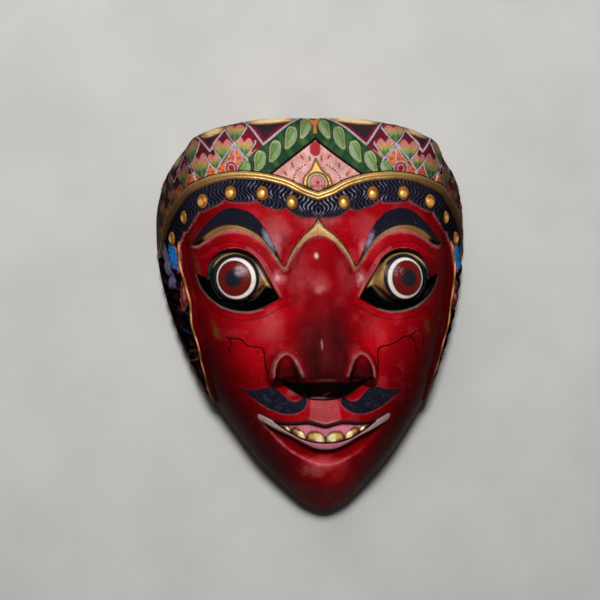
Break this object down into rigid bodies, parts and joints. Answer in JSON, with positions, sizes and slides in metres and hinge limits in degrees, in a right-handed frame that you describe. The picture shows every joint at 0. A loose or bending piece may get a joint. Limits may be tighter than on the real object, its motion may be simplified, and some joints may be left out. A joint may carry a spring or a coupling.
{
  "type": "topeng mask",
  "caption": "Carved and painted wooden dance mask of a smiling red face, with a diadem, round eyes over see-through slits and a hollow back.",
  "frame": {"origin": "middle of the box's underside, in the plane of the flat back rim", "axes": "+X the viewer's right, +Y towards the crown, +Z out of the face towards the nose"},
  "size_m": [0.1626, 0.2067, 0.0868],
  "materials": {
    "red_lacquer": "satin red lacquer on carved wood, worn on the edges",
    "gilding": "old gold leaf and gold paint, rubbed brown at the sides",
    "black_paint": "satin blue-black paint on brows, hair and moustache",
    "diadem_paint": "painted leaves, petals and flowers in pink, orange, green and maroon",
    "eye_paint": "glossy painted eyeball, white ring, dark red iris and black pupil",
    "bare_wood": "dark unpainted wood with knife marks inside the hollow"
  },
  "bodies": {
    "root": {"mask": "red_lacquer"}
  },
  "joints": []
}
